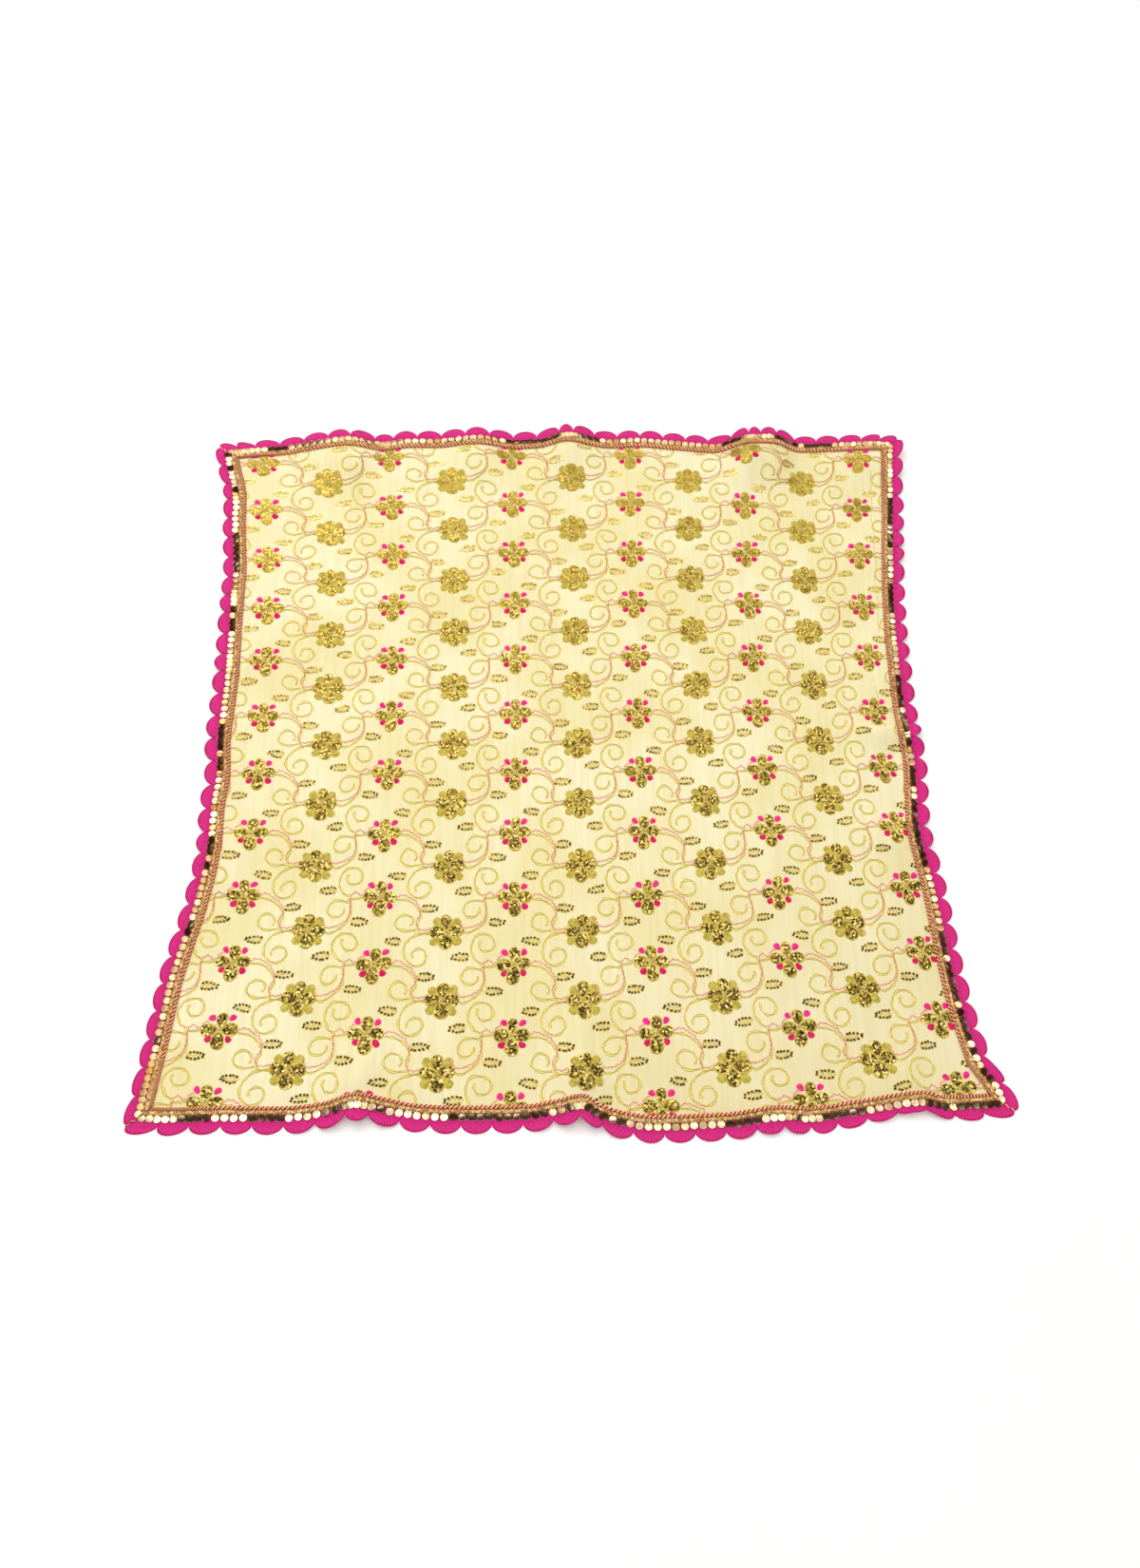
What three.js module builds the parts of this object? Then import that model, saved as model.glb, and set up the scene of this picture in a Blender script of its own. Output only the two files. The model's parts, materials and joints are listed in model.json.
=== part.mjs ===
import * as THREE from "three";

// A square chunri laid flat: one sheer ground cloth with a border of cord, gimp braid and scalloped lace.
// Millimetres, +Z up, +Y towards the far edge, the underside on z = 0.

// Sizes across the border, measured outward from the middle of the twisted cord
const WALL = 1.2;
const SEAM = 0.3;
const GROUND_HEM = 5.5;
const CORD_RADIUS = 1.5;
const CORD_SIDES = 5;
const BRAID_INNER = CORD_RADIUS + SEAM;
const BRAID_OUTER = 9.3;
const BRAID_THICK = 1.5;
const LACE_INNER = GROUND_HEM + SEAM;
const LACE_VALLEY = 19.5;
const LACE_TIP = 31.5;
const MITRE = 23;
const MITRE_CUT = 0.22;
const CORNER_ZONE = 60;

// How the folds die away from the edge inward
const FOLD_LEVEL = 10;
const FOLD_REACH = 95;
const TAKE_HALF = 18;

// The cloth is drawn a little out of square, measured where a and b are +-1
const HALF = 440;
const SPREAD_FAR_NEAR = 28.3;
const LEAN_LEFT = -7.7;
const LEAN_TWIST = -6.5;
const SIDES_SHORTER = -15.2;

// Points along the edge for each scallop
const STATIONS = 3;
const ARC_STEPS = 6;

// Each side: at = place along it, reach = cord line's distance from the middle of the cloth,
// lift = height of the fold there, take = length of trim gathered up in that fold
const SIDES = {
  near: {
    scallops: 30,
    rows: [
      { at: -476.5, reach: 486.5, lift: 0, take: 0 },
      { at: -400, reach: 481, lift: 0, take: 0 },
      { at: -330, reach: 478, lift: 0, take: 0 },
      { at: -290, reach: 472, lift: 4, take: 0 },
      { at: -252, reach: 460.5, lift: 13, take: 11 },
      { at: -225, reach: 465, lift: 5, take: 0 },
      { at: -190, reach: 471.5, lift: 0, take: 0 },
      { at: -140, reach: 473.5, lift: 0, take: 0 },
      { at: -70, reach: 472.5, lift: 0, take: 0 },
      { at: -35, reach: 467.5, lift: 5, take: 0 },
      { at: -4, reach: 461.5, lift: 14, take: 15 },
      { at: 15, reach: 473, lift: 7, take: 0 },
      { at: 45, reach: 482.5, lift: 0, take: 0 },
      { at: 80, reach: 487.5, lift: 0, take: 0 },
      { at: 150, reach: 487.5, lift: 0, take: 0 },
      { at: 215, reach: 482.5, lift: 4, take: 6 },
      { at: 250, reach: 486, lift: 0, take: 6 },
      { at: 300, reach: 482, lift: 0, take: 0 },
      { at: 372, reach: 476.5, lift: 8, take: 5 },
      { at: 405, reach: 485, lift: 1, take: 0 },
      { at: 452, reach: 486.5, lift: 0, take: 0 },
    ],
  },
  right: {
    scallops: 31,
    rows: [
      { at: -486.5, reach: 452, lift: 0, take: 0 },
      { at: -445, reach: 439, lift: 0, take: 0 },
      { at: -370, reach: 436, lift: 0, take: 0 },
      { at: -215, reach: 441, lift: 0, take: 0 },
      { at: -145, reach: 436, lift: 5, take: 3 },
      { at: -90, reach: 444, lift: 0, take: 0 },
      { at: -25, reach: 451, lift: 0, take: 0 },
      { at: 6, reach: 447, lift: 9, take: 18 },
      { at: 40, reach: 449, lift: 0, take: 0 },
      { at: 143, reach: 449, lift: 4, take: 5 },
      { at: 230, reach: 453, lift: 0, take: 0 },
      { at: 315, reach: 455, lift: 6, take: 13 },
      { at: 400, reach: 460, lift: 0, take: 0 },
      { at: 449, reach: 457, lift: 5, take: 5 },
      { at: 491, reach: 456, lift: 13, take: 0 },
    ],
  },
  far: {
    scallops: 32,
    rows: [
      { at: -452.5, reach: 487, lift: 2, take: 20 },
      { at: -410, reach: 489, lift: 1, take: 0 },
      { at: -305, reach: 489, lift: 17, take: 5 },
      { at: -256, reach: 488.5, lift: 2, take: 9 },
      { at: -225, reach: 489, lift: 7, take: 0 },
      { at: -185, reach: 489, lift: 5, take: 0 },
      { at: -132, reach: 489, lift: 12, take: 0 },
      { at: -75, reach: 488, lift: 0, take: 0 },
      { at: -45, reach: 488, lift: 2, take: 0 },
      { at: -5, reach: 488, lift: 17, take: 18 },
      { at: 55, reach: 488, lift: 1, take: 0 },
      { at: 100, reach: 489, lift: 3, take: 0 },
      { at: 150, reach: 487, lift: 0, take: 0 },
      { at: 207, reach: 483, lift: 0, take: 0 },
      { at: 258, reach: 485, lift: 22, take: 26 },
      { at: 290, reach: 487, lift: 21, take: 12 },
      { at: 335, reach: 488, lift: 2, take: 0 },
      { at: 400, reach: 490, lift: 9, take: 0 },
      { at: 456, reach: 491, lift: 13, take: 12 },
    ],
  },
  left: {
    scallops: 30,
    rows: [
      { at: -486.5, reach: 476.5, lift: 0, take: 0 },
      { at: -340, reach: 476, lift: 0, take: 0 },
      { at: -300, reach: 472.5, lift: 0, take: 0 },
      { at: -240, reach: 464.5, lift: 0, take: 0 },
      { at: -148, reach: 456, lift: 5, take: 6 },
      { at: -95, reach: 460, lift: 0, take: 0 },
      { at: -45, reach: 458, lift: 0, take: 0 },
      { at: 5, reach: 461, lift: 2, take: 0 },
      { at: 70, reach: 459, lift: 0, take: 0 },
      { at: 123, reach: 455, lift: 5, take: 8 },
      { at: 180, reach: 455.5, lift: 0, take: 0 },
      { at: 233, reach: 452, lift: 4, take: 9 },
      { at: 290, reach: 450, lift: 0, take: 0 },
      { at: 345, reach: 450, lift: 0, take: 0 },
      { at: 420, reach: 446.5, lift: 3, take: 8 },
      { at: 487, reach: 452.5, lift: 2, take: 0 },
    ],
  },
};

// Smooth curve through the rows of a table that never swings past a row
function curveThrough(rows, column) {
  const n = rows.length;
  const step = [];
  for (let i = 0; i < n - 1; i++) {
    step.push((rows[i + 1][column] - rows[i][column]) / (rows[i + 1].at - rows[i].at));
  }
  const slope = rows.map((row, i) => {
    if (i === 0 || i === n - 1) return 0;
    if (step[i - 1] * step[i] <= 0) return 0;
    return (2 * step[i - 1] * step[i]) / (step[i - 1] + step[i]);
  });
  return (at) => {
    if (at <= rows[0].at) return rows[0][column];
    if (at >= rows[n - 1].at) return rows[n - 1][column];
    let i = 0;
    while (at > rows[i + 1].at) i += 1;
    const width = rows[i + 1].at - rows[i].at;
    const t = (at - rows[i].at) / width;
    const t2 = t * t;
    const t3 = t2 * t;
    return (
      rows[i][column] * (2 * t3 - 3 * t2 + 1) +
      slope[i] * width * (t3 - 2 * t2 + t) +
      rows[i + 1][column] * (3 * t2 - 2 * t3) +
      slope[i + 1] * width * (t3 - t2)
    );
  };
}

function smooth(t) {
  const k = Math.min(1, Math.max(0, t));
  return k * k * (3 - 2 * k);
}

const NAMES = ["near", "right", "far", "left"];
for (const name of NAMES) {
  const side = SIDES[name];
  side.start = side.rows[0].at;
  side.end = side.rows[side.rows.length - 1].at;
  side.reach = curveThrough(side.rows, "reach");
  side.lift = curveThrough(side.rows, "lift");
}

// Length of trim used up to a place on a side, and the place where a length of trim ends
function trimLength(side, at) {
  let length = at;
  for (const row of side.rows) length += row.take * smooth((at - row.at) / (2 * TAKE_HALF) + 0.5);
  return length;
}

function placeOfTrim(side, share) {
  let low = side.start - MITRE;
  let high = side.end + MITRE;
  const first = trimLength(side, low);
  const wanted = first + share * (trimLength(side, high) - first);
  for (let i = 0; i < 40; i++) {
    const middle = (low + high) / 2;
    if (trimLength(side, middle) < wanted) low = middle;
    else high = middle;
  }
  return (low + high) / 2;
}

// A point of a side's border: place on the lace's corner line, then moved to the asked distance;
// cut is how far a trim stops short of the mitre line at each corner
function borderPoint(name, place, out, cut = 0) {
  const side = SIDES[name];
  const shrink = (CORNER_ZONE + out - cut) / (CORNER_ZONE + MITRE);
  let along = place;
  const fromStart = place - side.start;
  const fromEnd = side.end - place;
  if (fromStart < CORNER_ZONE) along = side.start + CORNER_ZONE - (CORNER_ZONE - fromStart) * shrink;
  if (fromEnd < CORNER_ZONE) along = side.end - CORNER_ZONE + (CORNER_ZONE - fromEnd) * shrink;
  return onSide(name, along, side.reach(along) + out);
}

function onSide(name, along, distance) {
  if (name === "near") return [along, -distance];
  if (name === "far") return [along, distance];
  if (name === "left") return [-distance, along];
  return [distance, along];
}

// Height of the cloth's underside over the floor
function liftAt(x, y) {
  const rise = [
    ["near", x, -y],
    ["far", x, y],
    ["left", y, -x],
    ["right", y, x],
  ].map(([name, along, distance]) => {
    const inward = SIDES[name].reach(along) - distance;
    return SIDES[name].lift(along) * (1 - smooth((inward - FOLD_LEVEL) / (FOLD_REACH - FOLD_LEVEL)));
  });
  const total = rise.reduce((sum, r) => sum + r, 0);
  if (total < 1e-9) return 0;
  return rise.reduce((sum, r) => sum + r * r, 0) / total;
}

// Flat pattern place and height over the underside to a point in space
function clothPoint([x, y], height) {
  const a = x / HALF;
  const b = y / HALF;
  const h = 0.5;
  const slopeX = (liftAt(x + h, y) - liftAt(x - h, y)) / (2 * h);
  const slopeY = (liftAt(x, y + h) - liftAt(x, y - h)) / (2 * h);
  const normal = new THREE.Vector3(-slopeX, -slopeY, 1).normalize();
  const point = new THREE.Vector3(
    x + SPREAD_FAR_NEAR * a * b * b + LEAN_LEFT * a * a + LEAN_TWIST * a * a * b,
    y + SIDES_SHORTER * b * a * a,
    liftAt(x, y),
  );
  return point.addScaledVector(normal, height);
}

// Collects the triangles of one closed body
class Body {
  constructor() {
    this.points = [];
    this.faces = [];
  }
  add(point) {
    this.points.push(point.x, point.y, point.z);
    return this.points.length / 3 - 1;
  }
  triangle(a, b, c) {
    this.faces.push(a, b, c);
  }
  quad(a, b, c, d) {
    this.faces.push(a, b, c, a, c, d);
  }
  geometry() {
    const geometry = new THREE.BufferGeometry();
    geometry.setAttribute("position", new THREE.Float32BufferAttribute(this.points, 3));
    geometry.setIndex(this.faces);
    return geometry;
  }
}

// Stations of a side: the same places for the ground's hem, the braid, the cord and the lace
function stations(name) {
  const side = SIDES[name];
  const count = side.scallops * STATIONS;
  const places = [];
  for (let i = 0; i <= count; i++) places.push(placeOfTrim(side, i / count));
  return places;
}

// Depth of the lace's edge along one scallop, 0 and 1 being its two valleys
function scallopDepth(share) {
  const a = 2 * share - 1;
  return LACE_VALLEY + (LACE_TIP - LACE_VALLEY) * Math.pow(Math.max(0, 1 - a * a), 0.6);
}

// One closed ring of the ground at a distance from the cord line; far and left run backwards
function ring(out, perSide) {
  const loop = [];
  for (let k = 0; k < 4; k++) {
    const name = NAMES[k];
    const side = SIDES[name];
    const backwards = name === "far" || name === "left";
    const places = perSide === null ? stations(name) : null;
    const count = places ? places.length - 1 : perSide;
    for (let i = 0; i < count; i++) {
      const j = backwards ? count - i : i;
      let flat;
      if (places) {
        flat = borderPoint(name, places[j], out);
      } else {
        const along = side.start - out + (j / count) * (side.end - side.start + 2 * out);
        flat = onSide(name, along, side.reach(along) + out);
      }
      loop.push({ share: k + i / count, flat });
    }
  }
  return loop;
}

// The ground: fine rings along the hem where the folds are, a plain grid inside them
function groundBody() {
  const grid = 20;
  const loops = [ring(GROUND_HEM, null), ring(-2.2, null), ring(-16, 34), ring(-40, 28), ring(-68, grid)];
  const inner = loops[loops.length - 1];
  const at = (k, i) => inner[(k * grid + i) % (4 * grid)].flat;
  const inside = [];
  for (let j = 0; j <= grid; j++) {
    const row = [];
    for (let i = 0; i <= grid; i++) {
      const u = i / grid;
      const v = j / grid;
      const near = at(0, i);
      const right = at(1, j);
      const far = at(2, grid - i);
      const left = at(3, grid - j);
      const corners = [at(0, 0), at(1, 0), at(2, 0), at(3, 0)];
      row.push(
        [0, 1].map(
          (c) =>
            near[c] * (1 - v) +
            far[c] * v +
            left[c] * (1 - u) +
            right[c] * u -
            corners[0][c] * (1 - u) * (1 - v) -
            corners[1][c] * u * (1 - v) -
            corners[2][c] * u * v -
            corners[3][c] * (1 - u) * v,
        ),
      );
    }
    inside.push(row);
  }
  const body = new Body();
  const layer = (height) => {
    const rings = loops.map((loop) => loop.map((p) => body.add(clothPoint(p.flat, height))));
    const last = rings[rings.length - 1];
    const ids = inside.map((row, j) =>
      row.map((flat, i) => {
        if (j === 0) return last[i];
        if (i === grid) return last[grid + j];
        if (j === grid) return last[2 * grid + (grid - i)];
        if (i === 0) return last[3 * grid + (grid - j)];
        return body.add(clothPoint(flat, height));
      }),
    );
    return { rings, ids };
  };
  const top = layer(WALL);
  const bottom = layer(0);
  const both = (pick) => {
    const [a, b, c] = pick(top);
    body.triangle(a, b, c);
    const [d, e, f] = pick(bottom);
    body.triangle(f, e, d);
  };
  for (let k = 0; k + 1 < loops.length; k++) {
    const outer = loops[k];
    const within = loops[k + 1];
    const n = outer.length;
    const m = within.length;
    let i = 0;
    let j = 0;
    while (i < n || j < m) {
      const nextOuter = i < n ? (i + 1 < n ? outer[i + 1].share : 4) : Infinity;
      const nextInner = j < m ? (j + 1 < m ? within[j + 1].share : 4) : Infinity;
      const a = i % n;
      const b = j % m;
      if (nextOuter <= nextInner) {
        const c = (i + 1) % n;
        both((l) => [l.rings[k][a], l.rings[k][c], l.rings[k + 1][b]]);
        i += 1;
      } else {
        const c = (j + 1) % m;
        both((l) => [l.rings[k][a], l.rings[k + 1][c], l.rings[k + 1][b]]);
        j += 1;
      }
    }
  }
  for (let j = 0; j < grid; j++) {
    for (let i = 0; i < grid; i++) {
      both((l) => [l.ids[j][i], l.ids[j][i + 1], l.ids[j + 1][i + 1]]);
      both((l) => [l.ids[j][i], l.ids[j + 1][i + 1], l.ids[j + 1][i]]);
    }
  }
  const n = loops[0].length;
  for (let i = 0; i < n; i++) {
    const c = (i + 1) % n;
    body.quad(top.rings[0][i], bottom.rings[0][i], bottom.rings[0][c], top.rings[0][c]);
  }
  return body.geometry();
}

// Near and right run along the border with the outside on their right hand, far and left the other way
function turned(name) {
  return name === "far" || name === "left";
}

function flipped(geometry) {
  const index = geometry.getIndex();
  for (let i = 0; i < index.count; i += 3) {
    const a = index.getX(i);
    index.setX(i, index.getX(i + 1));
    index.setX(i + 1, a);
  }
  return geometry;
}

// The lace: a straight sewn edge under the braid, scallops outside, mitred at both ends
function laceBody(name) {
  const side = SIDES[name];
  const body = new Body();
  const places = stations(name);
  const total = side.scallops * ARC_STEPS;
  const perStation = ARC_STEPS / STATIONS;
  const outer = [];
  for (let i = 0; i <= total; i++) {
    const place = placeOfTrim(side, i / total);
    const share = (i % ARC_STEPS) / ARC_STEPS;
    const depth = i === 0 || i === total ? MITRE : scallopDepth(share);
    outer.push(borderPoint(name, place, depth, MITRE_CUT));
  }
  const layer = (height) => ({
    inner: places.map((place) => body.add(clothPoint(borderPoint(name, place, LACE_INNER, MITRE_CUT), height))),
    outer: outer.map((flat) => body.add(clothPoint(flat, height))),
  });
  const top = layer(WALL);
  const bottom = layer(0);
  for (const [l, up] of [[top, true], [bottom, false]]) {
    const put = (a, b, c) => (up ? body.triangle(a, b, c) : body.triangle(c, b, a));
    for (let s = 0; s < places.length - 1; s++) {
      const first = s * perStation;
      const half = Math.floor(perStation / 2);
      for (let i = 0; i < perStation; i++) {
        const hub = i < half ? l.inner[s] : l.inner[s + 1];
        put(l.outer[first + i], l.outer[first + i + 1], hub);
        if (i === half - 1) put(l.inner[s], l.outer[first + half], l.inner[s + 1]);
      }
    }
  }
  for (let s = 0; s < places.length - 1; s++) {
    body.quad(top.inner[s + 1], bottom.inner[s + 1], bottom.inner[s], top.inner[s]);
  }
  for (let i = 0; i < total; i++) {
    body.quad(top.outer[i], bottom.outer[i], bottom.outer[i + 1], top.outer[i + 1]);
  }
  const end = places.length - 1;
  body.quad(top.inner[0], bottom.inner[0], bottom.outer[0], top.outer[0]);
  body.quad(top.outer[total], bottom.outer[total], bottom.inner[end], top.inner[end]);
  const geometry = body.geometry();
  return turned(name) ? flipped(geometry) : geometry;
}

// A strip swept along a side from rings of [distance out, height over the underside]
function sweptBody(name, outline) {
  const body = new Body();
  const places = stations(name);
  const n = outline.length;
  const rows = places.map((place) =>
    outline.map(([out, height]) => body.add(clothPoint(borderPoint(name, place, out, MITRE_CUT), height))),
  );
  for (let s = 0; s + 1 < rows.length; s++) {
    for (let i = 0; i < n; i++) {
      const j = (i + 1) % n;
      body.quad(rows[s][i], rows[s][j], rows[s + 1][j], rows[s + 1][i]);
    }
  }
  const last = rows.length - 1;
  for (let i = 1; i + 1 < n; i++) {
    body.triangle(rows[0][0], rows[0][i + 1], rows[0][i]);
    body.triangle(rows[last][0], rows[last][i], rows[last][i + 1]);
  }
  const geometry = body.geometry();
  return turned(name) ? flipped(geometry) : geometry;
}

function braidOutline() {
  const low = WALL + SEAM;
  const high = low + BRAID_THICK;
  return [[BRAID_INNER, low], [BRAID_INNER, high], [BRAID_OUTER, high], [BRAID_OUTER, low]];
}

function cordOutline() {
  const middle = WALL + SEAM + CORD_RADIUS;
  const outline = [];
  for (let i = 0; i < CORD_SIDES; i++) {
    const angle = -Math.PI / 2 + Math.PI / CORD_SIDES - (i * 2 * Math.PI) / CORD_SIDES;
    outline.push([CORD_RADIUS * Math.cos(angle), middle + CORD_RADIUS * Math.sin(angle)]);
  }
  return outline;
}

function netMaterial() {
  return new THREE.MeshStandardMaterial({ color: 0xf3e6a6, roughness: 0.85, metalness: 0 });
}
function laceMaterial() {
  return new THREE.MeshStandardMaterial({ color: 0xd6207e, roughness: 0.8, metalness: 0 });
}
function braidMaterial() {
  return new THREE.MeshStandardMaterial({ color: 0xd2ab62, roughness: 0.45, metalness: 0.5 });
}
function cordMaterial() {
  return new THREE.MeshStandardMaterial({ color: 0x9c1c36, roughness: 0.6, metalness: 0.1 });
}

const pieces = [["ground", groundBody(), netMaterial()]];
for (const name of NAMES) {
  pieces.push([`lace_${name}`, laceBody(name), laceMaterial()]);
  pieces.push([`braid_${name}`, sweptBody(name, braidOutline()), braidMaterial()]);
  pieces.push([`cord_${name}`, sweptBody(name, cordOutline()), cordMaterial()]);
}

// The whole cloth is set so that the middle of its box stands over the origin
const box = new THREE.Box3();
for (const [, geometry] of pieces) {
  geometry.computeBoundingBox();
  box.union(geometry.boundingBox);
}
const middle = box.getCenter(new THREE.Vector3());

const chunri = new THREE.Group();
chunri.name = "chunri";
for (const [name, geometry, material] of pieces) {
  geometry.translate(-middle.x, -middle.y, -box.min.z);
  geometry.computeVertexNormals();
  const mesh = new THREE.Mesh(geometry, material);
  mesh.name = name;
  chunri.add(mesh);
}

export default chunri;
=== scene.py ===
import json
import math

import bpy
import numpy as np
from mathutils import Matrix, Vector

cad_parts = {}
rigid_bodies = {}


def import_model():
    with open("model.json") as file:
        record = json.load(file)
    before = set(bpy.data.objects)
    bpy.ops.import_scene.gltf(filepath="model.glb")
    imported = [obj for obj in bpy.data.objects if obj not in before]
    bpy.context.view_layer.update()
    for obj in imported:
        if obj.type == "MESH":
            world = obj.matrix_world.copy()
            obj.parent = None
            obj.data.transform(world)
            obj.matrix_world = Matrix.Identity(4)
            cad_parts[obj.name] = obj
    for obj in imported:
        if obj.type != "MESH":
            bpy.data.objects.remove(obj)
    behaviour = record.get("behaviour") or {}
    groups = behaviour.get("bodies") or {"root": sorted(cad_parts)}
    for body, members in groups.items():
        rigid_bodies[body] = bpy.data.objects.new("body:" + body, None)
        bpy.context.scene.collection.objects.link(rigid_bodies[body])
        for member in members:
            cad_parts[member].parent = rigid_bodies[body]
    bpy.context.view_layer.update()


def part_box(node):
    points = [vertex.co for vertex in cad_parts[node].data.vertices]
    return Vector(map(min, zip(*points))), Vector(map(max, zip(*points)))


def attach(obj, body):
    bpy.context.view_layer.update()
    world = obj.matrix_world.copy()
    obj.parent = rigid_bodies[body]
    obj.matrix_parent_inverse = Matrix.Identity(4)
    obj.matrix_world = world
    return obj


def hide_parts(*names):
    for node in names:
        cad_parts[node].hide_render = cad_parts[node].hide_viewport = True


# A chunri laid flat: sheer yellow net with vine embroidery, cord, gimp braid, coins and scalloped lace.
# Flat pattern places and sizes are in millimetres, and become metres when a mesh is made.

for old in list(bpy.data.objects):
    bpy.data.objects.remove(old)
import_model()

# Sizes across the border, measured outward from the middle of the twisted cord
WALL = 1.2
GROUND_HEM = 5.5
BRAID_INNER = 1.8
LACE_INNER = 5.8
LACE_VALLEY = 19.5
LACE_TIP = 31.5
MITRE = 23.0
MITRE_CUT = 0.22
MITRE_CORD = 20.5
MITRE_TURNS = 4
CORNER_ZONE = 60.0
COIN_RADIUS = 4.95
COIN_OUT = 11.7
KNOT_OUT = 8.7
COIN_PITCH = 9.9

# How the folds die away from the edge inward
FOLD_LEVEL = 10.0
FOLD_REACH = 95.0
TAKE_HALF = 18.0

# The cloth is drawn a little out of square, measured where a and b are +-1
HALF = 440.0
SPREAD_FAR_NEAR = 28.3
LEAN_LEFT = -7.7
LEAN_TWIST = -6.5
SIDES_SHORTER = -15.2

# The pitch of the net's mesh, and of the rows of the crochet
MESH_PITCH = 1.1 / 0.7
ROW_PITCH = 2.1

# The pattern repeat, its small shifts, and how far inside the cord line the work ends
REPEAT_X = 168.0
REPEAT_Y = 86.3
DRIFT = 0.75
THREAD_MARGIN = 1.4
SEQUIN_MARGIN = 2.5

# The camera, in the cloth's own millimetres, and its angles in degrees
CAMERA_PLACE = (-46.0, -530.0, 1242.0)
CAMERA_TILT = 69.31
CAMERA_YAW = -4.24
CAMERA_ROLL = -3.36
FOCAL_PIXELS = 1043.0
PICTURE_HEIGHT = 1650.0
SENSOR = 36.0

# Each side: how many scallops, then rows of at, reach, lift, take as in the solid
SIDES = {
    "near": (30, [
        (-476.5, 486.5, 0, 0), (-400, 481, 0, 0), (-330, 478, 0, 0), (-290, 472, 4, 0),
        (-252, 460.5, 13, 11), (-225, 465, 5, 0), (-190, 471.5, 0, 0), (-140, 473.5, 0, 0),
        (-70, 472.5, 0, 0), (-35, 467.5, 5, 0), (-4, 461.5, 14, 15), (15, 473, 7, 0),
        (45, 482.5, 0, 0), (80, 487.5, 0, 0), (150, 487.5, 0, 0), (215, 482.5, 4, 6),
        (250, 486, 0, 6), (300, 482, 0, 0), (372, 476.5, 8, 5), (405, 485, 1, 0),
        (452, 486.5, 0, 0),
    ]),
    "right": (31, [
        (-486.5, 452, 0, 0), (-445, 439, 0, 0), (-370, 436, 0, 0), (-215, 441, 0, 0),
        (-145, 436, 5, 3), (-90, 444, 0, 0), (-25, 451, 0, 0), (6, 447, 9, 18),
        (40, 449, 0, 0), (143, 449, 4, 5), (230, 453, 0, 0), (315, 455, 6, 13),
        (400, 460, 0, 0), (449, 457, 5, 5), (491, 456, 13, 0),
    ]),
    "far": (32, [
        (-452.5, 487, 2, 20), (-410, 489, 1, 0), (-305, 489, 17, 5), (-256, 488.5, 2, 9),
        (-225, 489, 7, 0), (-185, 489, 5, 0), (-132, 489, 12, 0), (-75, 488, 0, 0),
        (-45, 488, 2, 0), (-5, 488, 17, 18), (55, 488, 1, 0), (100, 489, 3, 0),
        (150, 487, 0, 0), (207, 483, 0, 0), (258, 485, 22, 26), (290, 487, 21, 12),
        (335, 488, 2, 0), (400, 490, 9, 0), (456, 491, 13, 12),
    ]),
    "left": (30, [
        (-486.5, 476.5, 0, 0), (-340, 476, 0, 0), (-300, 472.5, 0, 0), (-240, 464.5, 0, 0),
        (-148, 456, 5, 6), (-95, 460, 0, 0), (-45, 458, 0, 0), (5, 461, 2, 0),
        (70, 459, 0, 0), (123, 455, 5, 8), (180, 455.5, 0, 0), (233, 452, 4, 9),
        (290, 450, 0, 0), (345, 450, 0, 0), (420, 446.5, 3, 8), (487, 452.5, 2, 0),
    ]),
}
NAMES = ("near", "right", "far", "left")
ACROSS = ("near", "far")
# Points along each scallop of the solid
STATIONS = 3

# A strip that lies under threads has this as its second map value, which is below 1 on a thread
BASE_MARK = 2.0

# Soft creases in the net, from start to end: x0, y0, x1, y1, half width, height
CREASES = [
    (-252, -462, -232, -318, 13, 3.0),
    (-252, -462, -292, -372, 9, 1.6),
    (-4, -462, 6, -330, 14, 3.2),
    (-4, -462, 44, -392, 9, 1.6),
    (372, -478, 352, -398, 11, 1.8),
    (-305, 489, -286, 372, 16, 2.0),
    (-132, 489, -140, 398, 13, 1.5),
    (-5, 489, -16, 380, 13, 2.4),
    (262, 487, 236, 352, 14, 3.0),
    (292, 487, 322, 396, 12, 2.2),
    (456, 491, 392, 402, 14, 2.4),
    (436, -145, 372, -166, 9, 1.5),
    (447, 6, 378, 20, 9, 2.0),
    (-456, -148, -392, -170, 9, 1.4),
    (-455, 123, -388, 108, 9, 1.4),
]


def smooth(t):
    k = np.clip(t, 0.0, 1.0)
    return k * k * (3 - 2 * k)


def curve_through(rows, column):
    """A smooth curve through a table's rows that never swings past a row, as in the solid."""
    at = np.array([row[0] for row in rows], float)
    value = np.array([row[column] for row in rows], float)
    step = np.diff(value) / np.diff(at)
    slope = np.zeros(len(at))
    for i in range(1, len(at) - 1):
        if step[i - 1] * step[i] > 0:
            slope[i] = 2 * step[i - 1] * step[i] / (step[i - 1] + step[i])

    def curve(x):
        x = np.clip(x, at[0], at[-1])
        i = np.clip(np.searchsorted(at, x) - 1, 0, len(at) - 2)
        width = at[i + 1] - at[i]
        t = (x - at[i]) / width
        t2 = t * t
        t3 = t2 * t
        return (
            value[i] * (2 * t3 - 3 * t2 + 1)
            + slope[i] * width * (t3 - 2 * t2 + t)
            + value[i + 1] * (3 * t2 - 2 * t3)
            + slope[i + 1] * width * (t3 - t2)
        )

    return curve


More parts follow.
